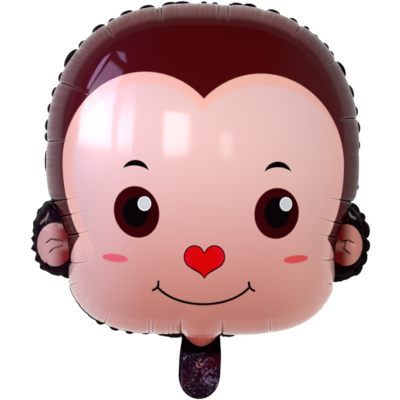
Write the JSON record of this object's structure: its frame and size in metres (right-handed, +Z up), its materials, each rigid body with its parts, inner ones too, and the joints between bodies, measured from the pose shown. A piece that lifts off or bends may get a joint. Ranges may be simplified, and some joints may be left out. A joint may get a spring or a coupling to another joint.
{
  "type": "foil balloon",
  "caption": "Inflated foil party balloon shaped as a monkey's head with rounded ears and a flat filling tail, lying face up.",
  "frame": {"origin": "centre of the bounding box's underside, on the surface that the balloon lies on", "axes": "+X towards the balloon's right-hand ear as seen from above, +Y from the tail to the crown, +Z up out of the face"},
  "size_m": [0.4548, 0.5318, 0.2492],
  "materials": {
    "printed_foil": "printed metallised film, glossy, crimped at the seam"
  },
  "bodies": {
    "root": {"foil_balloon": "printed_foil"}
  },
  "joints": []
}
